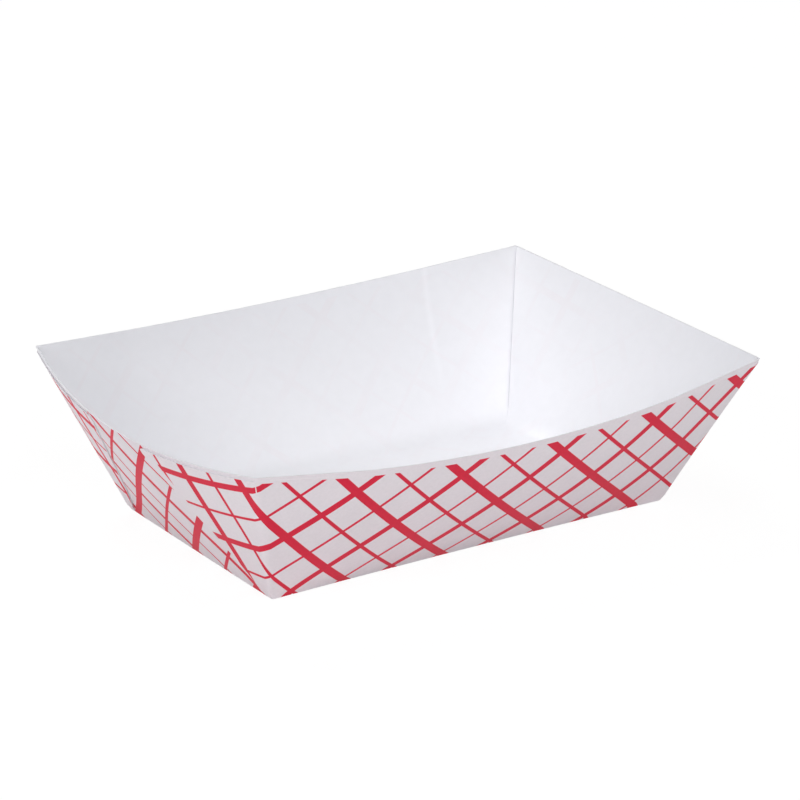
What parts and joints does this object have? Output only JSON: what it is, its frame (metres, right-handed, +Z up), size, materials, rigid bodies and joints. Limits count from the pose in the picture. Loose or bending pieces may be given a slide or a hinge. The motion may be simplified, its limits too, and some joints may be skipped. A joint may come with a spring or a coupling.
{
  "type": "paper food tray",
  "caption": "Open rectangular food tray folded from one sheet of coated paperboard, flared walls, glued corner flaps outside the ends, white inside, red plaid print outside",
  "frame": {"origin": "middle of the underside, on the surface the tray stands on", "axes": "+X along the length, +Y across the width, +Z up through the open top"},
  "size_m": [0.1986, 0.147, 0.0508],
  "materials": {
    "paperboard": "clay-coated white paperboard, satin, printed outside in red"
  },
  "bodies": {
    "root": {"tray": "paperboard"}
  },
  "joints": []
}
